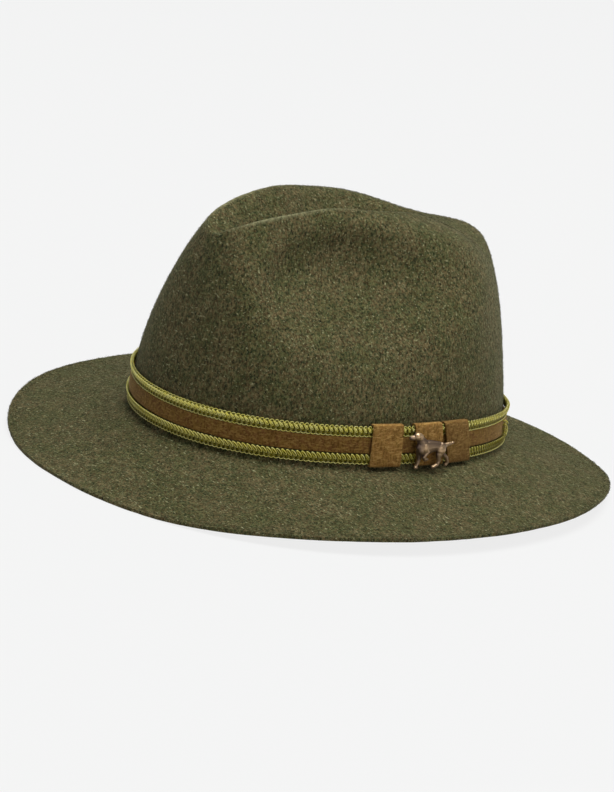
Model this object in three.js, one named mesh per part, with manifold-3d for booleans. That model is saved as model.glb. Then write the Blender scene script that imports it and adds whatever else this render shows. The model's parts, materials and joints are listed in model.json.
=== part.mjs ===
// Hunting hat: a wool felt hat with a centre dent and two side pinches, a suede band edged with
// crocheted braid, three suede keepers and a small pointing dog badge.
// Millimetres, +Z up. Front is -Y, the wearer's left is +X, the origin is on the floor below the middle.
// A turn of 0 degrees is the front of the hat, 90 the wearer's left, 180 the back.

import * as THREE from 'three';
import { mergeVertices } from 'three/addons/utils/BufferGeometryUtils.js';
import Module from 'manifold-3d';

const wasm = await Module();
wasm.setup();

// Driving dimensions

const clearance = 0.35;

const felt = {
  thickness: 2,
  columns: 64,
};

const brim = {
  halfLength: 152,
  halfWidth: 153,
  squareness: 2.1,
  sideRise: 7.2,
  flatUpTo: 0.3,
  flatRim: 0.945,
  curl: 1.12,
};

const foot = {
  halfLength: 100,
  halfWidth: 87,
  squareness: 2.08,
  backShift: 2.7,
  height: 18.3,
  backDrop: 0.04,
  sideLift: 2,
  filletWidth: 0.045,
  filletHeight: 2.4,
};

// The band lies on this straight, slightly leaning foot of the crown.
const seat = { height: 23, lean: 3 };

// Crest round the centre dent, from the front tip to where the dent runs out behind.
// Half its width at a turn is the spread times the sine of the turn.
const crest = { front: -80, back: 57 };

const crestRows = [
  { turn: 0, spread: 26.7, height: 120.4 },
  { turn: 20, spread: 28, height: 125.4 },
  { turn: 40, spread: 24, height: 129.8 },
  { turn: 60, spread: 23.3, height: 133.7 },
  { turn: 80, spread: 24.1, height: 136.2 },
  { turn: 100, spread: 28, height: 134.6 },
  { turn: 120, spread: 26.6, height: 132 },
  { turn: 150, spread: 16.2, height: 126.2 },
  { turn: 180, spread: 13.7, height: 123 },
];

// Floor of the centre dent, along its middle line.
const dentFloor = { front: -69, back: 48, lowest: -19, height: 117, frontRise: 2.5, backRise: 5.5 };

// Crown side from the band seat to the crest. Lean is measured from upright, drop from level,
// and each reach is the length of the curve's handle at that end.
const sideRows = [
  { turn: 0, seatLean: 9.5, seatReach: 36, crestDrop: 73, crestReach: 11 },
  { turn: 28, seatLean: 9.5, seatReach: 43, crestDrop: 55, crestReach: 26 },
  { turn: 50, seatLean: 12, seatReach: 41, crestDrop: 64, crestReach: 26 },
  { turn: 75, seatLean: 16, seatReach: 42, crestDrop: 51, crestReach: 19 },
  { turn: 100, seatLean: 8, seatReach: 55, crestDrop: 22, crestReach: 46 },
  { turn: 125, seatLean: 11, seatReach: 72, crestDrop: 8, crestReach: 47 },
  { turn: 150, seatLean: 8, seatReach: 72, crestDrop: 15, crestReach: 48 },
  { turn: 180, seatLean: 9, seatReach: 95, crestDrop: 10, crestReach: 62 },
];

// Finger dent pressed into each side: its middle, its reach round the crown in degrees and up
// the side in millimetres, and how much higher it sits for each reach towards the back.
const pinch = {
  turn: 75.5, reach: 45, height: 103.2, halfHeight: 25, depth: 16.3, climb: 7, roundness: 1.2,
};

// Height of the band's lower edge above the brim, and what it is made of.
const band = {
  bottom: 2.7,
  braidHeight: 5,
  stripHeight: 8,
  stripThickness: 1.2,
  braidThickness: 1.5,
  stations: 72,
};

// How far the band stands off the felt. It makes room for the keepers' hidden backs.
const bandRows = [
  { turn: 0, out: 0.4 },
  { turn: 40, out: 0.4 },
  { turn: 60, out: 1.3 },
  { turn: 68, out: 1.9 },
  { turn: 106, out: 1.8 },
  { turn: 145, out: 1 },
  { turn: 190, out: 0.5 },
  { turn: 230, out: 0.4 },
  { turn: 360, out: 0.4 },
];

// Short braid across the strip, over the joint of its ends.
const seam = { turn: 127, width: 3, thickness: 1.1 };

const keeper = { thickness: 1, stations: 5, cornerInside: 0.25, cornerOutside: 0.8 };

// Each keeper spans these turns half way up the band, and its top is turned on by the tilt.
const keeperRows = [
  { name: 'front_keeper', from: 68.6, to: 78, tilt: 0 },
  { name: 'middle_keeper', from: 82.4, to: 91.2, tilt: -0.6 },
  { name: 'rear_keeper', from: 92.6, to: 101.8, tilt: -1 },
];

// Dog badge: it points to the front, and stands before the middle and rear keepers.
const badge = { turn: 85.9, rise: -0.3, tilt: 6, postRadius: 0.8, postReach: 1.1, sides: 8 };

// Each limb runs through its rows: ahead, up and out are its middle line from the badge's centre,
// across and deep its half widths in the badge's plane and towards the viewer.
const dogLimbs = {
  torso: [
    { ahead: 6.6, up: 1, out: 1.9, across: 2.4, deep: 1.5 },
    { ahead: 4.8, up: 0.3, out: 1.9, across: 3.6, deep: 1.8 },
    { ahead: 2.2, up: -0.1, out: 1.9, across: 3.8, deep: 1.85 },
    { ahead: -2.0, up: 0.3, out: 1.85, across: 2.9, deep: 1.7 },
    { ahead: -6.0, up: -0.1, out: 1.85, across: 2.7, deep: 1.7 },
    { ahead: -8.9, up: 0.1, out: 1.8, across: 1.6, deep: 1.3 },
  ],
  neck: [
    { ahead: 4.4, up: 2.0, out: 1.95, across: 2.9, deep: 1.5 },
    { ahead: 6.2, up: 4.5, out: 2.0, across: 2.1, deep: 1.35 },
    { ahead: 7.4, up: 6.0, out: 2.05, across: 1.6, deep: 1.2 },
  ],
  head: [
    { ahead: 7.0, up: 6.5, out: 2.1, across: 1.5, deep: 1.2 },
    { ahead: 8.7, up: 6.7, out: 2.1, across: 1.6, deep: 1.3 },
    { ahead: 10.2, up: 6.3, out: 2.1, across: 1.15, deep: 0.95 },
    { ahead: 12.5, up: 6.4, out: 2.1, across: 0.8, deep: 0.7 },
  ],
  ear: [
    { ahead: 7.5, up: 7.6, out: 3.1, across: 0.8, deep: 0.5 },
    { ahead: 6.6, up: 6.4, out: 3.2, across: 1.2, deep: 0.5 },
    { ahead: 6.6, up: 5.2, out: 3.1, across: 0.8, deep: 0.45 },
  ],
  tail: [
    { ahead: -8.5, up: 0.8, out: 1.8, across: 0.95, deep: 0.8 },
    { ahead: -11.7, up: 0.4, out: 1.8, across: 0.7, deep: 0.65 },
    { ahead: -14.8, up: -0.3, out: 1.8, across: 0.4, deep: 0.4 },
  ],
  nearHindLeg: [
    { ahead: -7.2, up: 0.2, out: 2.6, across: 2.5, deep: 1.3 },
    { ahead: -5.9, up: -2.3, out: 2.7, across: 2.0, deep: 1.25 },
    { ahead: -4.8, up: -4.7, out: 2.7, across: 1.2, deep: 1.0 },
    { ahead: -5.2, up: -7.9, out: 2.6, across: 0.85, deep: 0.8 },
    { ahead: -4.2, up: -9.8, out: 2.6, across: 0.8, deep: 0.75 },
    { ahead: -1.2, up: -10.4, out: 2.6, across: 0.65, deep: 0.7 },
  ],
  farHindLeg: [
    { ahead: -8.6, up: -1.4, out: 1.2, across: 1.5, deep: 0.9 },
    { ahead: -8.5, up: -4.9, out: 1.1, across: 1.1, deep: 0.8 },
    { ahead: -11.4, up: -7.6, out: 1.0, across: 0.75, deep: 0.7 },
    { ahead: -12.1, up: -10.2, out: 1.0, across: 0.65, deep: 0.65 },
    { ahead: -10.8, up: -11.4, out: 1.0, across: 0.6, deep: 0.6 },
  ],
  nearFrontLeg: [
    { ahead: 3.8, up: 1.2, out: 2.7, across: 2.0, deep: 1.2 },
    { ahead: 2.4, up: -2.2, out: 2.8, across: 1.4, deep: 1.0 },
    { ahead: 4.6, up: -4.6, out: 2.8, across: 0.9, deep: 0.8 },
    { ahead: 3.7, up: -5.7, out: 2.8, across: 0.8, deep: 0.75 },
    { ahead: 2.3, up: -5.8, out: 2.8, across: 0.6, deep: 0.6 },
  ],
  farFrontLeg: [
    { ahead: 6.4, up: -1.2, out: 1.2, across: 1.5, deep: 0.9 },
    { ahead: 6.0, up: -5.0, out: 1.1, across: 0.95, deep: 0.8 },
    { ahead: 6.6, up: -7.6, out: 1.0, across: 0.75, deep: 0.7 },
    { ahead: 8.2, up: -9.6, out: 1.0, across: 0.6, deep: 0.6 },
  ],
};

const colours = {
  felt: 0x4a4a34,
  suede: 0x5b4223,
  keeperSuede: 0x66512c,
  braid: 0x9aa04a,
  bronze: 0x7a6557,
};

// Small helpers

const radians = (degrees) => degrees * Math.PI / 180;
const mix = (a, b, share) => a + (b - a) * share;
const clamp = (value, low, high) => Math.min(high, Math.max(low, value));
const ease = (share) => share * share * (3 - 2 * share);

function signedPower(value, power) {
  return Math.sign(value) * Math.abs(value) ** power;
}

function ovalPoint(turn, halfLength, halfWidth, squareness) {
  const power = 2 / squareness;
  return {
    x: halfWidth * signedPower(Math.sin(radians(turn)), power),
    y: -halfLength * signedPower(Math.cos(radians(turn)), power),
  };
}

// Smooth value of one column of a table, level at both ends of the table.
function tableValue(rows, key, at, column) {
  let index = rows.findIndex((row) => row[key] >= at);
  index = clamp(index, 1, rows.length - 1);
  const low = rows[index - 1];
  const high = rows[index];
  const slope = (a, b) => (b[column] - a[column]) / (b[key] - a[key]);
  const slopeLow = index === 1 ? 0 : slope(rows[index - 2], high);
  const slopeHigh = index === rows.length - 1 ? 0 : slope(low, rows[index + 1]);
  const width = high[key] - low[key];
  const s = (at - low[key]) / width;
  return (2 * s ** 3 - 3 * s ** 2 + 1) * low[column] + (s ** 3 - 2 * s ** 2 + s) * width * slopeLow
    + (3 * s ** 2 - 2 * s ** 3) * high[column] + (s ** 3 - s ** 2) * width * slopeHigh;
}

// Closed body from polygon sections of equal point count, as a ring or with two flat ends.
function sweptBody(sections, isRing) {
  const count = sections[0].length;
  const positions = sections.flat().flatMap((p) => [p.x, p.y, p.z]);
  const index = [];
  const strips = isRing ? sections.length : sections.length - 1;
  for (let i = 0; i < strips; i += 1) {
    const next = (i + 1) % sections.length;
    for (let j = 0; j < count; j += 1) {
      const k = (j + 1) % count;
      const a = i * count + j;
      const b = i * count + k;
      const c = next * count + k;
      const d = next * count + j;
      index.push(a, b, c, a, c, d);
    }
  }
  if (!isRing) {
    const last = (sections.length - 1) * count;
    for (let j = 1; j < count - 1; j += 1) {
      index.push(0, j + 1, j);
      index.push(last, last + j, last + j + 1);
    }
  }
  const geometry = new THREE.BufferGeometry();
  geometry.setAttribute('position', new THREE.Float32BufferAttribute(positions, 3));
  geometry.setIndex(index);
  return outward(geometry);
}

// Turns the faces round where they point inwards.
function outward(geometry) {
  const p = geometry.attributes.position;
  const index = geometry.index.array;
  const [a, b, c] = [new THREE.Vector3(), new THREE.Vector3(), new THREE.Vector3()];
  let volume = 0;
  for (let i = 0; i < index.length; i += 3) {
    a.fromBufferAttribute(p, index[i]);
    b.fromBufferAttribute(p, index[i + 1]);
    c.fromBufferAttribute(p, index[i + 2]);
    volume += a.dot(b.cross(c));
  }
  if (volume < 0) {
    for (let i = 0; i < index.length; i += 3) {
      [index[i + 1], index[i + 2]] = [index[i + 2], index[i + 1]];
    }
  }
  return geometry;
}

function asManifold(geometry) {
  const clean = geometry.clone();
  clean.deleteAttribute('normal');
  clean.deleteAttribute('uv');
  const merged = mergeVertices(clean);
  return new wasm.Manifold(new wasm.Mesh({
    numProp: 3,
    vertProperties: new Float32Array(merged.attributes.position.array),
    triVerts: new Uint32Array(merged.index.array),
  }));
}

function asGeometry(solid) {
  const mesh = solid.getMesh();
  const geometry = new THREE.BufferGeometry();
  geometry.setAttribute('position', new THREE.BufferAttribute(mesh.vertProperties, 3));
  geometry.setIndex(new THREE.BufferAttribute(mesh.triVerts, 1));
  return geometry;
}

// Felt body: brim and crown blocked from one felt

function footHeight(turn) {
  const { y } = ovalPoint(turn, foot.halfLength, foot.halfWidth, foot.squareness);
  return foot.height - foot.backDrop * y - foot.sideLift * Math.cos(radians(2 * turn));
}

// Point on the crown's foot wall at a height above the brim, moved out by a distance.
function wallPoint(turn, height, out = 0) {
  const inset = height * Math.tan(radians(seat.lean));
  const halfLength = foot.halfLength - inset;
  const halfWidth = foot.halfWidth - inset;
  const { x, y } = ovalPoint(turn, halfLength, halfWidth, foot.squareness);
  const normal = new THREE.Vector2(
    signedPower(x / halfWidth, foot.squareness - 1) / halfWidth,
    signedPower(y / halfLength, foot.squareness - 1) / halfLength,
  ).normalize().multiplyScalar(out * Math.cos(radians(seat.lean)));
  return new THREE.Vector3(
    x + normal.x,
    y + normal.y + foot.backShift,
    footHeight(turn) + height + out * Math.sin(radians(seat.lean)),
  );
}

// Top surface of the brim, from the crown's foot (0) to the cut edge (1).
function brimPoint(turn, share) {
  const inner = wallPoint(turn, 0);
  const edge = ovalPoint(turn, brim.halfLength, brim.halfWidth, brim.squareness);
  const sideways = clamp((Math.abs(Math.sin(radians(turn))) - brim.flatUpTo) / (1 - brim.flatUpTo), 0, 1);
  const edgeHeight = felt.thickness + brim.sideRise * ease(sideways);
  const fall = (1 - Math.min(1, share / brim.flatRim)) ** brim.curl;
  return new THREE.Vector3(
    mix(inner.x, edge.x, share),
    mix(inner.y, edge.y, share),
    mix(edgeHeight, inner.z, fall),
  );
}

// Concave corner between brim and crown.
function filletPoint(turn, share) {
  const onBrim = brimPoint(turn, foot.filletWidth);
  const onWall = wallPoint(turn, foot.filletHeight);
  const corner = wallPoint(turn, 0);
  return new THREE.QuadraticBezierCurve3(onBrim, corner, onWall).getPoint(share);
}

function crestPoint(turn) {
  const folded = turn > 180 ? 360 - turn : turn;
  return new THREE.Vector3(
    tableValue(crestRows, 'turn', folded, 'spread') * Math.sin(radians(turn)),
    mix(crest.front, crest.back, (1 - Math.cos(radians(turn))) / 2),
    tableValue(crestRows, 'turn', folded, 'height'),
  );
}

// Crown side above the band seat, from the seat (0) to the crest (1).
function sidePoint(turn, share) {
  const folded = turn > 180 ? 360 - turn : turn;
  const read = (column) => tableValue(sideRows, 'turn', folded, column);
  const low = wallPoint(turn, seat.height);
  const high = crestPoint(turn);
  const inward = new THREE.Vector3(high.x - low.x, high.y - low.y, 0).normalize();
  const lean = radians(read('seatLean'));
  const drop = radians(read('crestDrop'));
  const lowHandle = low.clone()
    .addScaledVector(inward, Math.sin(lean) * read('seatReach'))
    .add(new THREE.Vector3(0, 0, Math.cos(lean) * read('seatReach')));
  const highHandle = high.clone()
    .addScaledVector(inward, -Math.cos(drop) * read('crestReach'))
    .add(new THREE.Vector3(0, 0, -Math.sin(drop) * read('crestReach')));
  const point = new THREE.CubicBezierCurve3(low, lowHandle, highHandle, high).getPoint(share);
  point.x -= Math.sign(Math.sin(radians(turn))) * pinchDepth(folded, point.z);
  return point;
}

function pinchDepth(turn, height) {
  const across = (turn - pinch.turn) / pinch.reach;
  const up = (height - pinch.height - pinch.climb * across) / pinch.halfHeight;
  return pinch.depth * Math.max(0, 1 - across ** 2 - up ** 2) ** pinch.roundness;
}

// Centre dent, from the crest (0) to its middle line (1).
function dentPoint(turn, share) {
  const folded = turn > 180 ? 360 - turn : turn;
  const high = crestPoint(turn);
  const y = mix(dentFloor.front, dentFloor.back, folded / 180);
  const rise = y < dentFloor.lowest
    ? dentFloor.frontRise * ((dentFloor.lowest - y) / (dentFloor.lowest - dentFloor.front)) ** 2
    : dentFloor.backRise * ((y - dentFloor.lowest) / (dentFloor.back - dentFloor.lowest)) ** 2;
  return new THREE.Vector3(
    mix(high.x, 0, share),
    mix(high.y, y, share),
    mix(high.z, dentFloor.height + rise, ease(share)),
  );
}

function feltBody() {
  const turns = Array.from({ length: felt.columns }, (_, i) => i * 360 / felt.columns);
  const ring = (pointAt, share) => turns.map((turn) => pointAt(turn, share));
  const rings = [
    ...[1, brim.flatRim, 0.82, 0.66, 0.5, 0.34, 0.18].map((share) => ring(brimPoint, share)),
    ...[0, 0.33, 0.67].map((share) => ring(filletPoint, share)),
    ring(wallPoint, foot.filletHeight),
    ...[0, 0.1, 0.21, 0.33, 0.45, 0.57, 0.68, 0.78, 0.87, 0.94, 1].map((share) => ring(sidePoint, share)),
    ...[0.16, 0.36, 0.6, 0.82, 1].map((share) => ring(dentPoint, share)),
  ];
  return feltShell(rings);
}

// Wall of even thickness below the rings, the first ring being the cut edge.
function feltShell(rings) {
  const count = felt.columns;
  const skin = new THREE.BufferGeometry();
  skin.setAttribute('position', new THREE.Float32BufferAttribute(
    rings.flat().flatMap((p) => [p.x, p.y, p.z]), 3));
  const faces = [];
  for (let i = 0; i < rings.length - 1; i += 1) {
    for (let j = 0; j < count; j += 1) {
      const k = (j + 1) % count;
      faces.push(i * count + j, i * count + k, (i + 1) * count + k);
      faces.push(i * count + j, (i + 1) * count + k, (i + 1) * count + j);
    }
  }
  skin.setIndex(faces);
  const top = mergeVertices(skin);
  const merged = new Map(faces.map((vertex, i) => [vertex, top.index.getX(i)]));
  const rimOrder = Array.from({ length: 2 * count }, (_, i) => merged.get(i));
  const rim = new Set(rimOrder);
  top.computeVertexNormals();
  const p = top.attributes.position;
  const n = top.attributes.normal;
  const total = p.count;
  const positions = [...p.array];
  for (let i = 0; i < total; i += 1) {
    const down = rim.has(i) ? new THREE.Vector3(0, 0, 1) : new THREE.Vector3().fromBufferAttribute(n, i);
    positions.push(
      p.getX(i) - felt.thickness * down.x,
      p.getY(i) - felt.thickness * down.y,
      p.getZ(i) - felt.thickness * down.z,
    );
  }
  const index = [...top.index.array];
  for (let i = 0; i < top.index.count; i += 3) {
    const [a, b, c] = [0, 1, 2].map((corner) => top.index.getX(i + corner) + total);
    index.push(a, c, b);
  }
  for (let j = 0; j < count; j += 1) {
    const a = rimOrder[j];
    const b = rimOrder[(j + 1) % count];
    index.push(a, a + total, b + total, a, b + total, b);
  }
  const geometry = new THREE.BufferGeometry();
  geometry.setAttribute('position', new THREE.Float32BufferAttribute(positions, 3));
  geometry.setIndex(index);
  return outward(geometry);
}

// Band: suede strip with a braid along each edge

function bandOut(turn) {
  return tableValue(bandRows, 'turn', (turn + 360) % 360, 'out');
}

function bandRing(sectionAt) {
  const turns = Array.from({ length: band.stations }, (_, i) => i * 360 / band.stations);
  return sweptBody(turns.map(sectionAt), true);
}

function bandStrip() {
  const low = band.bottom + band.braidHeight + clearance;
  const high = low + band.stripHeight;
  return bandRing((turn) => {
    const near = bandOut(turn);
    const far = near + band.stripThickness;
    return [[low, near], [high, near], [high, far], [low, far]]
      .map(([height, out]) => wallPoint(turn, height, out));
  });
}

// Rounded braid whose lower edge lies at the given height.
function edgeBraid(low) {
  const profile = [[0.06, 0], [0.94, 0], [1, 0.5], [0.78, 1], [0.22, 1], [0, 0.5]];
  return bandRing((turn) => profile.map(([up, out]) => wallPoint(
    turn,
    low + up * band.braidHeight,
    bandOut(turn) + out * band.braidThickness,
  )));
}

function seamBraid() {
  const middle = band.bottom + band.braidHeight + clearance + band.stripHeight / 2;
  const halfHeight = band.stripHeight / 2;
  const radius = foot.halfLength;
  const halfTurn = THREE.MathUtils.radToDeg(seam.width / 2 / radius);
  const near = bandOut(seam.turn) + band.stripThickness + clearance;
  const profile = [[-1, 0], [1, 0], [1, 0.5], [0.5, 1], [-0.5, 1], [-1, 0.5]];
  const heights = [middle - halfHeight, middle, middle + halfHeight];
  const sections = heights.map((height) => profile.map(([side, out]) => wallPoint(
    seam.turn + side * halfTurn,
    height,
    near + out * seam.thickness,
  )));
  return sweptBody(sections, false);
}

// Keepers: suede loops round the band

// Corner-cut rectangle round the band, grown by a distance.
function windowOutline(grow, corner) {
  const low = band.bottom - grow;
  const high = band.bottom + 2 * band.braidHeight + band.stripHeight + 2 * clearance + grow;
  const near = -grow;
  const far = band.braidThickness + grow;
  return [
    [low, near + corner], [low + corner, near], [high - corner, near], [high, near + corner],
    [high, far - corner], [high - corner, far], [low + corner, far], [low, far - corner],
  ];
}

function keeperLoop({ from, to, tilt }) {
  const halfHeight = band.braidHeight + band.stripHeight / 2 + clearance;
  const middle = band.bottom + halfHeight;
  const inside = windowOutline(clearance, keeper.cornerInside);
  const outside = windowOutline(clearance + keeper.thickness, keeper.cornerOutside);
  const turns = Array.from({ length: keeper.stations }, (_, i) => mix(from, to, i / (keeper.stations - 1)));
  const pointAt = ([height, out], turn) => wallPoint(
    turn + tilt * (height - middle) / halfHeight,
    height,
    bandOut(turn) + out,
  );
  const sections = inside.map((corner, i) => [
    ...turns.map((turn) => pointAt(outside[i], turn)),
    ...turns.toReversed().map((turn) => pointAt(corner, turn)),
  ]);
  return sweptBody(sections, true);
}

// Badge: small pointing dog with one plain pin

function badgeFrame() {
  const middle = band.bottom + band.braidHeight + clearance + band.stripHeight / 2 + badge.rise;
  const out = bandOut(badge.turn) + band.braidThickness + keeper.thickness + 2 * clearance;
  const origin = wallPoint(badge.turn, middle, out);
  const outwards = wallPoint(badge.turn, middle, out + 1).sub(origin).normalize();
  const step = 0.5;
  const ahead = wallPoint(badge.turn - step, middle, out).sub(origin);
  ahead.addScaledVector(outwards, -ahead.dot(outwards)).normalize();
  const up = new THREE.Vector3().crossVectors(ahead, outwards);
  if (up.z < 0) up.negate();
  const tilt = radians(badge.tilt);
  const nose = ahead.clone().multiplyScalar(Math.cos(tilt)).addScaledVector(up, -Math.sin(tilt));
  const back = up.multiplyScalar(Math.cos(tilt)).addScaledVector(ahead, Math.sin(tilt));
  return new THREE.Matrix4().makeBasis(nose, back, outwards).setPosition(origin);
}

function limbBody(rows) {
  const points = rows.map((row) => new THREE.Vector2(row.ahead, row.up));
  const first = points[0].clone().sub(points[1]).normalize();
  const last = points.at(-1).clone().sub(points.at(-2)).normalize();
  const roundEnd = 0.7;
  const endSize = 0.5;
  const tip = (row, direction) => ({
    ...row,
    ahead: row.ahead + direction.x * row.across * roundEnd,
    up: row.up + direction.y * row.across * roundEnd,
    across: row.across * endSize,
    deep: row.deep * endSize,
  });
  const path = [tip(rows[0], first), ...rows, tip(rows.at(-1), last)];
  const sections = path.map((row, i) => {
    const before = path[Math.max(0, i - 1)];
    const after = path[Math.min(path.length - 1, i + 1)];
    const along = new THREE.Vector2(after.ahead - before.ahead, after.up - before.up).normalize();
    return Array.from({ length: badge.sides }, (_, k) => {
      const angle = 2 * Math.PI * k / badge.sides;
      return new THREE.Vector3(
        row.ahead - along.y * row.across * Math.cos(angle),
        row.up + along.x * row.across * Math.cos(angle),
        row.out + row.deep * Math.sin(angle),
      );
    });
  });
  return sweptBody(sections, false);
}

function pinBody(radius, reach) {
  const root = 2;
  const pin = new THREE.CylinderGeometry(radius, radius, root + reach, badge.sides);
  pin.rotateX(Math.PI / 2);
  pin.translate(0, 0, (root - reach) / 2);
  return pin;
}

function dogBadge() {
  const limbs = Object.values(dogLimbs).map((rows) => asManifold(limbBody(rows)));
  const pin = asManifold(pinBody(badge.postRadius, badge.postReach));
  const dog = limbs.reduce((whole, limb) => whole.add(limb), pin);
  return outward(asGeometry(dog).applyMatrix4(badgeFrame()));
}

// Middle keeper with the hole that the badge's pin goes into.
function drilledKeeper(row) {
  const drill = pinBody(badge.postRadius + clearance, 2 * keeper.thickness);
  drill.applyMatrix4(badgeFrame());
  return asGeometry(asManifold(keeperLoop(row)).subtract(asManifold(outward(drill))));
}

// Materials and assembly

function material(name, colour, roughness, metalness = 0) {
  return new THREE.MeshStandardMaterial({ name, color: colour, roughness, metalness });
}

const hat = new THREE.Group();

function addPiece(name, geometry, finish) {
  const mesh = new THREE.Mesh(geometry, finish);
  mesh.name = name;
  hat.add(mesh);
}

addPiece('felt_body', feltBody(), material('felt', colours.felt, 0.95));

const braidFinish = () => material('crocheted braid', colours.braid, 0.7);
const topBraidLow = band.bottom + band.braidHeight + band.stripHeight + 2 * clearance;
addPiece('bottom_braid', edgeBraid(band.bottom), braidFinish());
addPiece('band_strip', bandStrip(), material('suede strip', colours.suede, 0.9));
addPiece('top_braid', edgeBraid(topBraidLow), braidFinish());
addPiece('seam_braid', seamBraid(), braidFinish());

for (const row of keeperRows) {
  const holdsBadge = row.name === 'middle_keeper';
  const body = holdsBadge ? drilledKeeper(row) : keeperLoop(row);
  addPiece(row.name, body, material('suede keeper', colours.keeperSuede, 0.9));
}

addPiece('dog_badge', dogBadge(), material('aged bronze', colours.bronze, 0.45, 0.9));

export default hat;
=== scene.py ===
import json
import math

import bpy
from mathutils import Matrix, Vector
from mathutils.kdtree import KDTree

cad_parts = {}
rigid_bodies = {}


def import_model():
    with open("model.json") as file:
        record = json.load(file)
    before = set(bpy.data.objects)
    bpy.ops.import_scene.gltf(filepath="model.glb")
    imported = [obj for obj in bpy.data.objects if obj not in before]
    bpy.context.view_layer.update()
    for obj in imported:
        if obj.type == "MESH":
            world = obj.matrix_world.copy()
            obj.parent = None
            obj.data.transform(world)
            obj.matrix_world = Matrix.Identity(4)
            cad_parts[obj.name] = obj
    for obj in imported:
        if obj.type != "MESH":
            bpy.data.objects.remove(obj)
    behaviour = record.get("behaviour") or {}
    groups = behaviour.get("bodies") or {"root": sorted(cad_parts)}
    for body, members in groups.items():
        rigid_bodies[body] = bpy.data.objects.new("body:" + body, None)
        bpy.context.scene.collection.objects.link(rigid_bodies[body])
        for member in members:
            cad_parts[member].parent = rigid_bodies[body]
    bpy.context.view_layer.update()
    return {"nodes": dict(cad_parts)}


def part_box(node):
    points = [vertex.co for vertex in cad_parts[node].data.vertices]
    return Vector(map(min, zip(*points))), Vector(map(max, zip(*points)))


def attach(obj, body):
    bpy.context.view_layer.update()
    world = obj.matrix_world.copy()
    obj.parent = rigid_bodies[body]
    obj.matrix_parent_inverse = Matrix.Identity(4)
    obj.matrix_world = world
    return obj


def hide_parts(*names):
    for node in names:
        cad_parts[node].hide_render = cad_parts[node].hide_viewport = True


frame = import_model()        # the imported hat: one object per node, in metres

scene = bpy.context.scene
mm = 0.001
nodeWeld, fibreWeld = 0.01 * mm, 0.001 * mm      # points closer than this are merged

camera = {
    "azimuth": 48,           # degrees from the hat's front towards the wearer's left
    "elevation": 15.98,
    "roll": 7.08,            # clockwise
    "distance": 1499.3,      # millimetres from the hat's origin
    "right": -4.21,
    "up": 28.49,
    "focalPixels": 2919, "pictureHeight": 792,
    "sensor": 36,
    "nearest": 0.05, "farthest": 50,      # metres
}

light = {
    "world": 0.05,
    # softboxes: turn from the hat's front towards the wearer's left, height, distance, size, power, colour
    "softboxes": {
        "top": (110, 84, 3.6, 2.4, 166, (0.965, 1, 0.985)),
        "side": (112, 50, 3.6, 2.4, 26, (1, 0.98, 0.96)),
        "fill": (80, 10, 3.6, 2.4, 18, (1, 0.97, 0.91)),
        "back": (225, 30, 3.6, 2.4, 20, (0.96, 1, 1)),
    },
    "aimHeight": 0.05,       # metres above the floor
    "floorSize": 30, "floorShade": 0.067, "floorGlow": 0.82,
}


# Shared helpers

def deselectAll():
    active = bpy.context.view_layer.objects.active
    if active and active.mode != "OBJECT":
        bpy.ops.object.mode_set(mode="OBJECT")
    bpy.ops.object.select_all(action="DESELECT")


def pick(piece):
    deselectAll()
    piece.select_set(True)
    bpy.context.view_layer.objects.active = piece


def editAll(piece):
    pick(piece)
    bpy.ops.object.mode_set(mode="EDIT")
    bpy.ops.mesh.select_all(action="SELECT")


def objectMode():
    bpy.ops.object.mode_set(mode="OBJECT")


def smooth(piece):
    pick(piece)
    bpy.ops.object.shade_smooth()


def settle(piece):
    # the finished piece's object goes back to the origin, with its place in its mesh
    pick(piece)
    bpy.ops.object.transform_apply(location=True, rotation=True, scale=True)


def modify(piece, kind, **settings):
    pick(piece)
    modifier = piece.modifiers.new(kind.lower(), kind)
    for key, value in settings.items():
        setattr(modifier, key, value)
    bpy.ops.object.modifier_apply(modifier=modifier.name)


def copyOfNode(node, name):
    # a CAD node's mesh is loose triangles, so its copy is merged and given back its quads
    piece = bpy.data.objects.new(name, frame["nodes"][node].data.copy())
    scene.collection.objects.link(piece)
    piece.data.name = name
    editAll(piece)
    bpy.ops.mesh.customdata_custom_splitnormals_clear()
    bpy.ops.mesh.remove_doubles(threshold=nodeWeld)
    bpy.ops.mesh.tris_convert_to_quads(face_threshold=math.pi, shape_threshold=math.pi, topology_influence=2)
    objectMode()
    return piece


def joined(pieces, name):
    pick(pieces[0])
    for piece in pieces[1:]:
        piece.select_set(True)
    bpy.ops.object.join()
    whole = bpy.context.object
    whole.name = name
    whole.data.name = name
    return whole


def uneven(piece, name, depth, size, detail):
    # pushes the surface in and out by up to half the depth, in lumps of this size, both in millimetres
    texture = bpy.data.textures.new(name, "CLOUDS")
    texture.noise_scale = size * mm
    texture.noise_depth = detail
    modify(piece, "DISPLACE", texture=texture, strength=depth * mm, texture_coords="LOCAL")


def plug(tree, value, socket):
    if isinstance(value, bpy.types.NodeSocket):
        tree.links.new(value, socket)
    else:
        socket.default_value = value


def addNode(tree, kind, settings=None, **sockets):
    # a node with its settings, and with its sockets set or linked by name
    node = tree.nodes.new(kind)
    for key, value in (settings or {}).items():
        setattr(node, key, value)
    for key, value in sockets.items():
        plug(tree, value, node.inputs[key.replace("_", " ")])
    return node


def shaderNode(material, kind, settings=None, **sockets):
    return addNode(material.node_tree, "ShaderNode" + kind, settings, **sockets)


def principled(material, **sockets):
    shader = material.node_tree.nodes["Principled BSDF"]
    for key, value in sockets.items():
        plug(material.node_tree, value, shader.inputs[key.replace("_", " ")])


def newMaterial(name, roughness, metallic=0.0):
    material = bpy.data.materials.new(name)
    material.use_nodes = True
    principled(material, Roughness=roughness, Metallic=metallic)
    return material


def attributeOf(material, name):
    return shaderNode(material, "Attribute", {"attribute_name": name}).outputs["Fac"]


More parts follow.
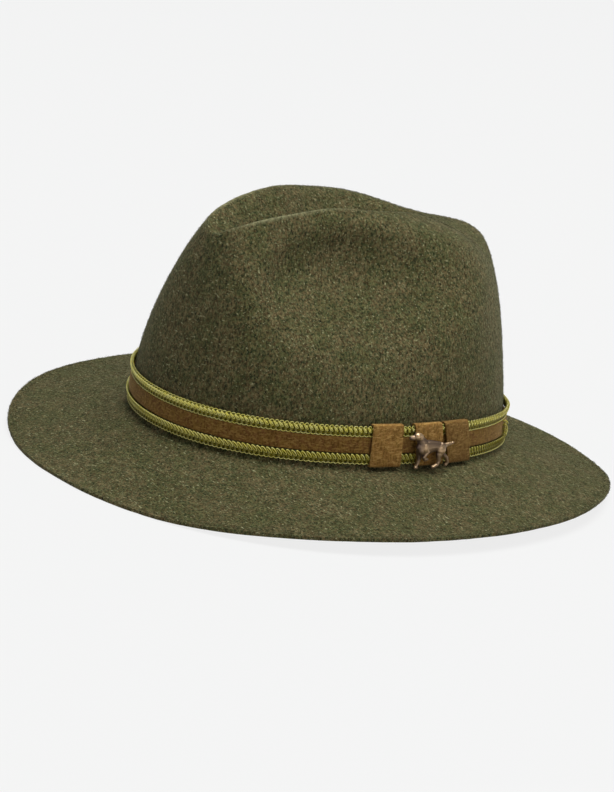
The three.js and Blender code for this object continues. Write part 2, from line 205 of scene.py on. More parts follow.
def noise(material, size, detail=2.0, rough=0.5, stretch=(1, 1, 1), turn=(0, 0, 0)):
    # noise whose lumps are about this many millimetres across, in the piece's own space
    place = shaderNode(material, "TexCoord")
    mapping = shaderNode(material, "Mapping", Vector=place.outputs["Object"], Scale=stretch,
                         Rotation=[math.radians(angle) for angle in turn])
    made = shaderNode(material, "TexNoise", Vector=mapping.outputs["Vector"], Scale=1 / (size * mm),
                      Detail=detail, Roughness=rough)
    return made.outputs["Fac"]


def ramp(material, value, low, high):
    # 0 below low, 1 above high
    made = shaderNode(material, "MapRange", {"interpolation_type": "SMOOTHSTEP"}, Value=value,
                      From_Min=low, From_Max=high)
    return made.outputs["Result"]


def blendColours(material, share, first, second, kind="MIX"):
    made = shaderNode(material, "MixRGB", {"blend_type": kind}, Fac=share, Color1=first, Color2=second)
    return made.outputs["Color"]


def shaded(material, tone, share, darker, lighter):
    # the tone times a shade, which goes from darker to lighter with the share
    shade = blendColours(material, share, (*darker, 1), (*lighter, 1))
    return blendColours(material, 1.0, tone, shade, "MULTIPLY")


def bumped(material, height, distance, strength):
    made = shaderNode(material, "Bump", Height=height, Distance=distance * mm, Strength=strength)
    principled(material, Normal=made.outputs["Normal"])


def colour(red, green, blue):
    # screen colour, 0 to 255, as the linear colour that Blender uses
    return tuple(((c / 255 + 0.055) / 1.055) ** 2.4 for c in (red, green, blue)) + (1.0,)


def finishPiece(piece, material, slotName, *nodes):
    piece.data.materials.clear()
    piece.data.materials.append(material)
    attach(piece, "root")
    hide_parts(*nodes)


def triangles(piece):
    return sum(len(face.vertices) - 2 for face in piece.data.polygons)


def direction(turn, height):
    # outwards from the hat: turned in radians from its front towards the wearer's left, then raised
    level = math.cos(height)
    return Vector((math.sin(turn) * level, -math.cos(turn) * level, math.sin(height)))


# Camera, floor and light

def makeCamera():
    azimuth, elevation, roll = (math.radians(camera[key]) for key in ("azimuth", "elevation", "roll"))
    away = direction(azimuth, elevation)
    right = Vector((math.cos(azimuth), math.sin(azimuth), 0))
    up = away.cross(right)
    rolledRight = right * math.cos(roll) + up * math.sin(roll)
    rolledUp = up * math.cos(roll) - right * math.sin(roll)
    place = away * camera["distance"] + right * camera["right"] + up * camera["up"]
    bpy.ops.object.camera_add(location=place * mm)
    eye = bpy.context.object
    eye.name = "photoCamera"
    eye.rotation_euler = Matrix((rolledRight, rolledUp, away)).transposed().to_euler()
    eye.data.sensor_width = camera["sensor"]
    eye.data.lens = camera["focalPixels"] * camera["sensor"] / camera["pictureHeight"]
    eye.data.clip_start, eye.data.clip_end = camera["nearest"], camera["farthest"]
    scene.camera = eye


def softbox(name, turn, height, distance, size, power, tint):
    away = direction(math.radians(turn), math.radians(height))
    bpy.ops.object.light_add(type="AREA", location=away * distance + Vector((0, 0, light["aimHeight"])))
    lamp = bpy.context.object
    lamp.name = name
    lamp.rotation_euler = away.to_track_quat("Z", "Y").to_euler()
    lamp.data.size = size
    lamp.data.energy = power
    lamp.data.color = tint


def makeStage():
    bpy.ops.mesh.primitive_plane_add(size=light["floorSize"], location=(0, 0, 0))
    floor = bpy.context.object
    floor.name = "studio_floor"
    paper = newMaterial("studio paper", roughness=1)
    shade = light["floorShade"]
    principled(paper, Base_Color=(shade, shade, shade, 1), Specular_IOR_Level=0,
               Emission_Color=(1, 1, 1, 1), Emission_Strength=light["floorGlow"])
    floor.data.materials.append(paper)
    for name, look in light["softboxes"].items():
        softbox(f"{name}Light", *look)
    scene.world = bpy.data.worlds.new("studio")
    scene.world.use_nodes = True
    sky = scene.world.node_tree.nodes["Background"]
    sky.inputs["Color"].default_value = (1, 1, 1, 1)
    sky.inputs["Strength"].default_value = light["world"]
    scene.view_settings.view_transform = "Standard"


deselectAll()
makeCamera()
makeStage()
print("stage: camera, floor and light are set")


# Felt body

felt = {
    # sizes and places in millimetres, folds in degrees
    "edgeRound": 0.45, "rimHighest": 20, "rimFold": 60,      # the cut edge is low and folds by more than this
    "sway": 0.5, "swaySize": 45, "swayDetail": 1,            # slow unevenness of the blocked felt
    "ripple": 0.35, "rippleSize": 7, "rippleDetail": 2,      # small, and makes the cut edge wavy
    # the crown's fold is creased, and given a painted highlight, where it folds by more than crestFlat, in
    # full from crestSharp
    "crestLowest": 118.5, "crestFlat": 38, "crestSharp": 84, "crestCrease": 0.6,
    "crestFront": -83, "crestFade": 13, "crestBack": 15,     # it starts soft at the front
    # how far the painted highlight reaches from the crest, and how many points along each crest edge
    "highlightReach": 2.8, "highlightSteps": 8,
    "pale": (108, 102, 70), "dark": (19, 21, 10), "green": (52, 65, 34), "brown": (92, 70, 40),
    "hair": (144, 141, 107), "bloom": (188, 186, 152),
    "grain": 1.15, "grainDepth": 0.3,     # size and depth of one fleck
    # each pattern's size in flecks, detail, roughness, stretch, turn, and where it starts and is in full
    "patterns": {
        "flecks": (1, 5, 0.72, (1, 1, 0.75), (0, 0, 0), (0.355, 0.645)),
        "tinge": (1.2, 2, 0.5, (1, 1, 1), (0, 0, 0), (0.42, 0.58)),
        "clumps": (3.2, 2, 0.5, (1, 1, 1), (0, 0, 0), (0.35, 0.65)),
        "patches": (12, 3, 0.5, (1, 1, 1), (0, 0, 0), (0.38, 0.62)),
        "upright": (0.8, 3, 0.6, (1, 1, 0.3), (8, -6, 0), (0.57, 0.68)),
        "crossing": (0.8, 3, 0.6, (0.35, 1, 1), (20, 35, 40), (0.6, 0.7)),
    },
    "tinged": 0.3,                        # how far a fleck turns green or brown
    "clumpShades": ((0.83, 0.85, 0.81), (1.15, 1.14, 1.17)),
    "patchShades": ((0.89, 0.96, 0.88), (1.1, 1.05, 1.09)),
    # the painted highlight along the crest: where it starts and is in full, and its flecked shades
    "highlightFull": (0.05, 1.35), "highlightFlecks": (0.38, 0.6), "highlightShades": ((0.5, 0.5, 0.5), (1.1, 1.1, 1.1)),
}


def folds(piece, lowest, highest, least):
    # outward folds between two heights: edge number, its two ends, and the fold in degrees
    sides = {}
    for face in piece.data.polygons:
        for key in face.edge_keys:
            sides.setdefault(key, []).append(face)
    found = []
    for edge in piece.data.edges:
        start, end = (piece.data.vertices[i].co for i in edge.vertices)
        if not lowest * mm <= min(start.z, end.z) <= highest * mm:
            continue
        first, second = sides[tuple(sorted(edge.vertices))]
        fold = math.degrees(first.normal.angle(second.normal))
        if fold > least and (second.center - first.center).dot(first.normal) < 0:
            found.append((edge.index, start.copy(), end.copy(), fold))
    return found


def crestEdges(piece):
    # the crown's fold: edge number, its two ends, and how sharp it is, from 0 to 1
    flat, sharp = felt["crestFlat"], felt["crestSharp"]
    crest = []
    for index, start, end, fold in folds(piece, felt["crestLowest"], math.inf, flat):
        middle = (start.y + end.y) / 2 / mm
        if middle < felt["crestBack"]:
            fade = min(1, max(0, (middle - felt["crestFront"]) / felt["crestFade"]))
            crest.append((index, start, end, min(1, (fold - flat) / (sharp - flat)) * fade))
    return crest


def setEdges(piece, name, values):
    marks = piece.data.attributes.new(name, "FLOAT", "EDGE")
    for index, value in values.items():
        marks.data[index].value = value


def markCrestHighlight(piece, crest):
    # painted highlight: 1 on the sharpest part of the crown's fold and 0 beyond its reach
    points = []
    for edge, start, end, share in crest:
        for step in range(felt["highlightSteps"]):
            points.append((start.lerp(end, step / felt["highlightSteps"]), share))
    tree = KDTree(len(points))
    for index, (point, share) in enumerate(points):
        tree.insert(point, index)
    tree.balance()
    marks = piece.data.attributes.new("crestHighlight", "FLOAT", "POINT")
    for vertex, mark in zip(piece.data.vertices, marks.data):
        nearest, index, distance = tree.find(vertex.co)
        mark.value = max(0, 1 - distance / (felt["highlightReach"] * mm)) * points[index][1]


def feltMaterial(name):
    material = newMaterial(name, roughness=0.95)
    values, shares = {}, {}
    for pattern, (size, detail, rough, stretch, turn, spread) in felt["patterns"].items():
        values[pattern] = noise(material, felt["grain"] * size, detail, rough, stretch, turn)
        shares[pattern] = ramp(material, values[pattern], *spread)
    tone = blendColours(material, shares["flecks"], colour(*felt["dark"]), colour(*felt["pale"]))
    hue = blendColours(material, shares["tinge"], colour(*felt["green"]), colour(*felt["brown"]))
    tone = blendColours(material, felt["tinged"], tone, hue)
    tone = shaded(material, tone, shares["clumps"], *felt["clumpShades"])
    tone = shaded(material, tone, shares["patches"], *felt["patchShades"])
    tone = blendColours(material, shares["upright"], tone, colour(*felt["dark"]))
    tone = blendColours(material, shares["crossing"], tone, colour(*felt["hair"]))
    # painted highlight: the crest line is lightened towards the hair colour
    highlight = ramp(material, attributeOf(material, "crestHighlight"), *felt["highlightFull"])
    highlight = shaded(material, highlight, ramp(material, values["flecks"], *felt["highlightFlecks"]), *felt["highlightShades"])
    tone = blendColours(material, highlight, tone, colour(*felt["hair"]))
    principled(material, Base_Color=tone, Sheen_Weight=0.16, Sheen_Roughness=0.5,
               Sheen_Tint=colour(*felt["bloom"]), Specular_IOR_Level=0.12)
    bumped(material, values["flecks"], felt["grainDepth"], strength=0.7)
    return material


def makeFelt():
    body = copyOfNode("felt_body", "felt_shell")
    crest = crestEdges(body)
    setEdges(body, "crease_edge", {index: felt["crestCrease"] * share for index, start, end, share in crest})
    rim = folds(body, -math.inf, felt["rimHighest"], felt["rimFold"])
    setEdges(body, "bevel_weight_edge", {index: 1.0 for index, start, end, fold in rim})
    modify(body, "BEVEL", width=felt["edgeRound"] * mm, segments=2, limit_method="WEIGHT")
    modify(body, "SUBSURF", levels=2, render_levels=2)
    uneven(body, "blocking", felt["sway"], felt["swaySize"], felt["swayDetail"])
    uneven(body, "ripple", felt["ripple"], felt["rippleSize"], felt["rippleDetail"])
    for vertex in body.data.vertices:
        vertex.co.z = max(0, vertex.co.z)      # the brim rests on the floor
    markCrestHighlight(body, crest)
    smooth(body)
    finishPiece(body, feltMaterial("wool felt"), "felt", "felt_body")
    print("felt body: done,", triangles(body), "triangles")
    return body


feltShell = makeFelt()


# Loose fibres that stand off the felt and the suede

fibre = {
    "bow": 0.14,              # how far a fibre's middle lifts, as a share of its length
    # how many and their seed, length and thickness in millimetres, and how far they stand off in degrees
    "crown": {"count": 32500, "seed": 3, "length": 2.1, "thick": 0.095, "pitch": 14},
    "brim": {"count": 32500, "seed": 5, "length": 2.1, "thick": 0.095, "pitch": 14},
    "rim": {"count": 5000, "seed": 11, "length": 1.5, "thick": 0.12, "pitch": 55},
    "nap": {"count": 2600, "seed": 7, "length": 0.9, "thick": 0.06, "pitch": 20},
    "smallest": (0.5, 0.7, 0.5), "largest": (1.5, 1.2, 1.5),      # each fibre's own stretch
    "pale": (114, 111, 81), "dark": (31, 35, 19), "odd": (102, 78, 46),
    "suedePale": (163, 131, 81), "suedeDark": (105, 76, 37),
    "paleFrom": (0.35, 0.72), "oddFrom": (0.92, 0.95),
    # where they grow: heights and an oval's half widths in millimetres, how far out on that oval, and the
    # least that a face there looks up, or out for the nap
    "crownLowest": 34, "crownFacing": 0.3,
    "brimLowest": 2.5, "brimHighest": 30, "brimInner": (100, 112), "brimShare": 0.95,
    "rimLowest": 1.2, "rimOuter": (153, 152), "rimShare": 0.985, "rimFacing": -0.3,
    "napFacing": -0.2,
}


def fibreShape(name, look):
    # one arched spindle with pointed ends, lying along +X
    length = look["length"] * mm
    bpy.ops.mesh.primitive_cone_add(vertices=3, radius1=look["thick"] / 2 * mm, depth=length / 2,
                                    end_fill_type="NOTHING", rotation=(0, math.radians(90), 0))
    single = bpy.context.object
    bpy.ops.transform.translate(value=(length / 4, 0, 0))
    settle(single)
    editAll(single)
    bpy.ops.mesh.duplicate()
    bpy.ops.transform.mirror(constraint_axis=(True, False, False), center_override=(0, 0, 0))
    bpy.ops.mesh.flip_normals()
    bpy.ops.mesh.select_all(action="SELECT")
    bpy.ops.mesh.remove_doubles(threshold=fibreWeld)
    objectMode()
    for vertex in single.data.vertices:
        if abs(vertex.co.x) < length / 8:      # the middle
            vertex.co.z += length * fibre["bow"]
    single.name = name
    return single


def randomValue(tree, kind, low, high, seed):
    # a random vector or number for each fibre
    node = addNode(tree, "FunctionNodeRandomValue", {"data_type": kind}, Seed=seed)
    limits = [socket for socket in node.inputs if socket.enabled and socket.name in ("Min", "Max")]
    limits[0].default_value, limits[1].default_value = low, high
    return next(socket for socket in node.outputs if socket.enabled)


def scatterTree(name, single, look, area):
    tree = bpy.data.node_groups.new(name, "GeometryNodeTree")
    tree.interface.new_socket("Geometry", in_out="INPUT", socket_type="NodeSocketGeometry")
    tree.interface.new_socket("Geometry", in_out="OUTPUT", socket_type="NodeSocketGeometry")
    start, end = tree.nodes.new("NodeGroupInput"), tree.nodes.new("NodeGroupOutput")
    seed, pitch = look["seed"], math.radians(look["pitch"])
    turn = randomValue(tree, "FLOAT_VECTOR", (-pitch, -pitch, -math.pi), (pitch, pitch, math.pi), seed + 1)
    stretch = randomValue(tree, "FLOAT_VECTOR", fibre["smallest"], fibre["largest"], seed + 2)
    points = addNode(tree, "GeometryNodeDistributePointsOnFaces", Mesh=start.outputs[0], Seed=seed,
                     Density=look["count"] / area)
    turned = addNode(tree, "FunctionNodeRotateRotation", {"rotation_space": "LOCAL"},
                     Rotation=points.outputs["Rotation"], Rotate_By=turn)
    source = addNode(tree, "GeometryNodeObjectInfo", Object=single)
    placed = addNode(tree, "GeometryNodeInstanceOnPoints", Points=points.outputs["Points"],
                     Instance=source.outputs["Geometry"], Rotation=turned.outputs["Rotation"], Scale=stretch)
    toned = addNode(tree, "GeometryNodeStoreNamedAttribute", {"data_type": "FLOAT", "domain": "INSTANCE"},
                    Geometry=placed.outputs["Instances"], Name="tone",
                    Value=randomValue(tree, "FLOAT", 0.0, 1.0, seed + 3))
    real = addNode(tree, "GeometryNodeRealizeInstances", Geometry=toned.outputs["Geometry"])
    tree.links.new(real.outputs["Geometry"], end.inputs[0])
    return tree


def fibreMaterial(name, pale, dark, odd):
    material = newMaterial(name, roughness=0.9)
    tone = attributeOf(material, "tone")
    shade = blendColours(material, ramp(material, tone, *fibre["paleFrom"]), colour(*dark), colour(*pale))
    shade = blendColours(material, ramp(material, tone, *fibre["oddFrom"]), shade, colour(*odd))
    principled(material, Base_Color=shade, Specular_IOR_Level=0.2)
    return material


def scatter(name, surface, chosen, look, material, slotName, node):
    # fibres over the chosen faces of a finished surface
    base = bpy.data.objects.new(name, surface.data.copy())
    scene.collection.objects.link(base)
    pick(base)
    bpy.ops.object.mode_set(mode="EDIT")
    bpy.ops.mesh.select_mode(type="FACE")
    objectMode()
    for face in base.data.polygons:
        face.select = not chosen(face.center, face.normal)
    bpy.ops.object.mode_set(mode="EDIT")
    bpy.ops.mesh.delete(type="FACE")
    objectMode()
    area = sum(face.area for face in base.data.polygons)
    single = fibreShape(f"{name}_single", look)
    modify(base, "NODES", node_group=scatterTree(f"{name} scatter", single, look, area))
    bpy.data.objects.remove(single)
    base.data.name = name
    finishPiece(base, material, slotName, node)
    print(f"{name}: {triangles(base)} triangles")


def reach(place, oval):
    # how far out a place is, where 1 lies on the oval with these half widths
    return math.hypot(place.x / (oval[0] * mm), place.y / (oval[1] * mm))


def onOuterCrown(place, normal):
    outward = normal.x * place.x + normal.y * place.y > 0 or normal.z > fibre["crownFacing"]
    return place.z > fibre["crownLowest"] * mm and outward


def onUpperBrim(place, normal):
    onBrim = fibre["brimLowest"] * mm < place.z < fibre["brimHighest"] * mm
    return onBrim and reach(place, fibre["brimInner"]) > fibre["brimShare"] and normal.z > 0


def onRim(place, normal):
    onBrim = fibre["rimLowest"] * mm < place.z < fibre["brimHighest"] * mm
    return onBrim and reach(place, fibre["rimOuter"]) > fibre["rimShare"] and normal.z > fibre["rimFacing"]


def onKeeperFront(place, normal):
    return normal.x > fibre["napFacing"]


woolFibre = fibreMaterial("wool fibre", fibre["pale"], fibre["dark"], fibre["odd"])
for zone, chosen in (("crown", onOuterCrown), ("brim", onUpperBrim), ("rim", onRim)):
    scatter(f"{zone}_fibres", feltShell, chosen, fibre[zone], woolFibre, "felt", "felt_body")


# Suede, for the band strip and the keepers

suede = {
    "cornerFrom": 50,         # degrees: a sharper corner is rounded
    "cloudSize": 3.2, "clouds": (0.35, 0.65),      # millimetres, and where they start and are in full
    "acrossFull": (0.42, 0.64), "alongFull": (0.46, 0.66), "napDepth": 0.25,
    "bloom": (210, 180, 130),
}


def suedeMaterial(name, look):
    material = newMaterial(name, roughness=0.9)
    cloudy = ramp(material, noise(material, suede["cloudSize"]), *suede["clouds"])
    across = noise(material, look["nap"], detail=3, rough=0.65, stretch=(1, 1, 0.3))
    along = noise(material, look["nap"], detail=3, rough=0.65, stretch=(0.5, 0.3, 1), turn=(15, 20, 10))
    tone = blendColours(material, cloudy, colour(*look["base"]), colour(*look["patch"]))
    tone = blendColours(material, ramp(material, across, *suede["acrossFull"]), tone, colour(*look["dark"]))
    tone = blendColours(material, ramp(material, along, *suede["alongFull"]), tone, colour(*look["pale"]))
    principled(material, Base_Color=tone, Sheen_Weight=0.4, Sheen_Roughness=0.45,
               Sheen_Tint=colour(*suede["bloom"]), Specular_IOR_Level=0.12)
    bumped(material, across, suede["napDepth"], strength=0.6)
    return material


def makeSuede(node, name, look, material, slotName):
    piece = copyOfNode(node, name)
    modify(piece, "BEVEL", width=look["edgeRound"] * mm, segments=2, limit_method="ANGLE",
           angle_limit=math.radians(suede["cornerFrom"]))
    modify(piece, "SUBSURF", levels=look["levels"], render_levels=look["levels"])
    uneven(piece, f"{name} sway", look["sway"], look["swaySize"], look["swayDetail"])
    smooth(piece)
    finishPiece(piece, material, slotName, node)
    print(f"{name}: {triangles(piece)} triangles")
    return piece


# Band strip

strip = {
    "base": (116, 87, 38), "patch": (106, 72, 38), "dark": (82, 57, 22), "pale": (138, 106, 56),
    "nap": 0.8, "edgeRound": 0.25, "levels": 2, "sway": 0.15, "swaySize": 6, "swayDetail": 1,
}

makeSuede("band_strip", "suede_strip", strip, suedeMaterial("strip suede", strip), "strip_suede")


# Braids

braid = {
    "pitch": 2.4,             # one stitch, in millimetres round the band
    "pathDepth": 0.75,        # how deep in the braid its path runs
    "sectionGap": 1.5,        # degrees: corners nearer than this are one section of the ring
    "coreShrink": 0.45,
    "pale": (255, 251, 160), "light": (255, 242, 100), "mid": (182, 170, 46), "dark": (40, 38, 5),
    "deep": (58, 54, 9), "deepLight": 0.8,
    # where the tones and patterns start and are in full, and the patterns' sizes and depths in millimetres
    "midFull": (0.05, 0.5), "lightFull": (0.4, 0.95),
    "patchFull": (0.3, 0.7), "patchSize": 3, "plyDepth": 0.06,
    "twistFull": (0.4, 0.65), "twistSize": 0.7, "twistDepth": 0.2,
    # the next share darkens a thread as painted shade where it turns away from the outside
    "edgeShade": 0.5,          # share of a thread's tone left where it turns away from the outside
    # a stitch is a few loops of thread, one row each: millimetres for the loop's place, half width, half
    # height and thread, degrees for its slant and lap, its tone and the far side's share of it, which is
    # painted shade, and how many segments and sides it has
    "columns": ("along", "up", "out", "wide", "tall", "thread",
                "slant", "lap", "tone", "far", "ring", "sides"),
    "top": (
        (0, 1.75, 0.9, 1.15, 0.8, 0.17, -24, 18, 0.85, 1, 10, 4),      # arches along the upper edge
        (0, 0.7, 1.4, 0.42, 1.65, 0.22, -44, 26, 1, 0.8, 14, 5),       # chain
        (0, 0.75, 1.75, 0.22, 0.62, 0.18, 40, 0, 1, 1, 10, 4),         # knots on the chain
        (0, -1.1, 0.95, 0.3, 0.95, 0.15, -12, 10, 0.5, 1, 8, 4),       # ground under it
        (0.6, -2.3, 1.1, 0.7, 0.1, 0.13, 26, 0, 1, 1, 8, 4),           # wavy edge thread
        (-0.6, -2.3, 1.1, 0.7, 0.1, 0.13, -26, 0, 0.9, 1, 8, 4),
    ),
    "bottom": (
        (0, 1.1, 1.45, 0.52, 1.95, 0.27, -42, 20, 1, 0.55, 14, 5),     # tall slanted loops
        (0, -1, 0.95, 0.3, 1, 0.15, -12, 10, 0.5, 1, 8, 4),            # ground under them
        (0.6, -2.3, 1.1, 0.7, 0.1, 0.13, 26, 0, 1, 1, 8, 4),           # wavy edge thread
        (-0.6, -2.3, 1.1, 0.7, 0.1, 0.13, -26, 0, 0.9, 1, 8, 4),
    ),
    "seam": (0, 0, 1.2, 0.55, 1.35, 0.36, -30, 14, 0.9, 1, 12, 5),
    "seamCount": 4, "seamPitch": 2.1, "seamTurn": 127, "seamOut": 0.5,
}


def threadMaterial(name):
    # "tone" is 1 on the outer face of a bright stitch and 0 deep in the braid: painted highlight outside,
    # painted shade within
    material = newMaterial(name, roughness=0.3)
    tone = attributeOf(material, "tone")
    patches = ramp(material, noise(material, braid["patchSize"], detail=3), *braid["patchFull"])
    inner = ramp(material, tone, *braid["midFull"])
    low = blendColours(material, inner, colour(*braid["dark"]), colour(*braid["mid"]))
    high = blendColours(material, patches, colour(*braid["light"]), colour(*braid["pale"]))
    shade = blendColours(material, ramp(material, tone, *braid["lightFull"]), low, high)
    place = shaderNode(material, "TexCoord")
    stretched = shaderNode(material, "Mapping", Vector=place.outputs["UV"], Scale=(16, 2, 1))
    ply = shaderNode(material, "TexWave", {"bands_direction": "DIAGONAL"}, Vector=stretched.outputs["Vector"],
                     Scale=0.6, Distortion=0.4)
    principled(material, Base_Color=shade, Sheen_Weight=0.15, Specular_IOR_Level=1.0,
               Coat_Weight=0.35, Coat_Roughness=0.25)
    bumped(material, ply.outputs["Fac"], braid["plyDepth"], strength=0.6)
    return material


# the core is a dark backing behind the stitches: the braid's inner threads, darkened further as painted shade
# in the gaps
def coreMaterial(name):
    material = newMaterial(name, roughness=0.8)
    twist = noise(material, braid["twistSize"], rough=0.6)
    share = ramp(material, twist, *braid["twistFull"])
    lighter = [c * braid["deepLight"] for c in braid["mid"]]
    principled(material, Base_Color=blendColours(material, share, colour(*braid["deep"]), colour(*lighter)),
               Specular_IOR_Level=0.2)
    bumped(material, twist, braid["twistDepth"], strength=0.8)
    return material


def ringStations(node):
    # centre of the node's section at each station round the band, sorted by angle
    corners = {tuple(round(c, 6) for c in vertex.co) for vertex in frame["nodes"][node].data.vertices}
    ordered = sorted((math.atan2(y, x), Vector((x, y, z))) for x, y, z in corners)
    groups = [[ordered[0][1]]]
    for (before, _), (angle, point) in zip(ordered, ordered[1:]):
        if angle - before > math.radians(braid["sectionGap"]):
            groups.append([])
        groups[-1].append(point)
    return [sum(group, Vector()) / len(group) for group in groups]


def pathCurve(name, points):
    # a closed smooth curve through the points, and its length
    curve = bpy.data.curves.new(name, "CURVE")
    curve.dimensions = "3D"
    curve.twist_mode = "Z_UP"
    curve.resolution_u = 6
    spline = curve.splines.new("BEZIER")
    spline.bezier_points.add(len(points) - 1)
    for knot, point in zip(spline.bezier_points, points):
        knot.co = point
        knot.handle_left_type = knot.handle_right_type = "AUTO"
    spline.use_cyclic_u = True
    path = bpy.data.objects.new(name, curve)
    scene.collection.objects.link(path)
    return path, spline.calc_length()


def stitchLoop(values, name):
    # an oval loop of thread; +X runs along the band, +Z up, -Y out
    row = dict(zip(braid["columns"], values))
    bpy.ops.mesh.primitive_torus_add(
        major_radius=row["tall"] * mm, minor_radius=row["thread"] * mm,
        major_segments=row["ring"], minor_segments=row["sides"],
        location=(row["along"] * mm, (braid["pathDepth"] - row["out"]) * mm, row["up"] * mm),
        rotation=(math.radians(90), math.radians(row["slant"]), math.radians(row["lap"])))
    loop = bpy.context.object
    objectMode()
    narrow, edge = row["wide"] / row["tall"], braid["edgeShade"]
    tones = loop.data.attributes.new("tone", "FLOAT", "POINT")
    for vertex, tone in zip(loop.data.vertices, tones.data):
        angle = math.atan2(vertex.co.y, vertex.co.x)
        middle = Vector((math.cos(angle), math.sin(angle), 0)) * row["tall"] * mm
        # painted shade: the thread darkens where it turns away from the outside, and on the loop's far side
        facing = max(0, vertex.co.z / (row["thread"] * mm))
        tone.value = row["tone"] * (edge + (1 - edge) * facing) * (1 if middle.x > 0 else row["far"])
        vertex.co += Vector((middle.x * (narrow - 1), 0, 0))
    settle(loop)
    loop.name = name
    return loop


def makeBraid(name, node, rows, material):
    path, length = pathCurve(f"{name}_path", ringStations(node))
    count = round(length / (braid["pitch"] * mm))
    stitches = joined([stitchLoop(row, f"{name}_stitch") for row in rows], name)
    modify(stitches, "ARRAY", fit_type="FIXED_COUNT", count=count, use_relative_offset=False,
           use_constant_offset=True, constant_offset_displace=(length / count, 0, 0))
    modify(stitches, "CURVE", object=path, deform_axis="POS_X")
    bpy.data.objects.remove(path)
    settle(stitches)
    smooth(stitches)
    finishPiece(stitches, material, "braid", node)
    print(f"{name}: {count} stitches, {triangles(stitches)} triangles")


def makeCore(name, node, material):
    core = copyOfNode(node, name)
    modify(core, "DISPLACE", strength=-braid["coreShrink"] * mm, mid_level=0)
    modify(core, "SUBSURF", levels=1, render_levels=1)
    smooth(core)
    finishPiece(core, material, "braid", node)


def makeSeam(material):
    # the braid turns down across the strip: a short column of the same stitches, on their side
    low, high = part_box("seam_braid")
    turn = math.radians(braid["seamTurn"])
    middle = (Vector(low) + Vector(high)) / 2 + direction(turn, 0) * braid["seamOut"] * mm
    loops = []
    for index in range(braid["seamCount"]):
        loop = stitchLoop(braid["seam"], "seam_stitch")
        pick(loop)
        bpy.ops.transform.rotate(value=math.radians(90), orient_axis="Y", center_override=(0, 0, 0))
        bpy.ops.transform.rotate(value=turn, orient_axis="Z", center_override=(0, 0, 0))
        rise = (index - (braid["seamCount"] - 1) / 2) * braid["seamPitch"] * mm
        bpy.ops.transform.translate(value=middle + Vector((0, 0, rise)))
        settle(loop)
        loops.append(loop)
    seam = joined(loops, "seam_stitches")
    smooth(seam)
    finishPiece(seam, material, "braid", "seam_braid")
    print("seam:", triangles(seam), "triangles")


thread, core = threadMaterial("braid thread"), coreMaterial("braid core")
for place in ("top", "bottom"):
    makeBraid(f"{place}_stitches", f"{place}_braid", braid[place], thread)
    makeCore(f"{place}_stitches_core", f"{place}_braid", core)
makeSeam(thread)
makeCore("seam_core", "seam_braid", core)


# Keepers

keeper = {
    "base": (150, 115, 59), "patch": (138, 99, 51), "dark": (108, 77, 34), "pale": (174, 137, 79),
    "nap": 0.9, "edgeRound": 0.3, "levels": 3, "sway": 0.25, "swaySize": 4, "swayDetail": 2,
    # each keeper's colours are scaled; the rear keeper is darker as painted shade
    "paintedShades": {"front": 1, "middle": 1, "rear": 0.84},
}


def makeKeepers():
    nap = fibreMaterial("suede nap", fibre["suedePale"], fibre["suedeDark"], fibre["suedePale"])
    for name, shade in keeper["paintedShades"].items():
        tones = {key: [c * shade for c in keeper[key]] for key in ("base", "patch", "dark", "pale")}
        material = suedeMaterial(f"{name} keeper suede", {**keeper, **tones})
        loop = makeSuede(f"{name}_keeper", f"{name}_loop", keeper, material, "keeper_suede")
        scatter(f"{name}_nap", loop, onKeeperFront, fibre["nap"], nap, "keeper_suede", f"{name}_keeper")


makeKeepers()


# Dog badge

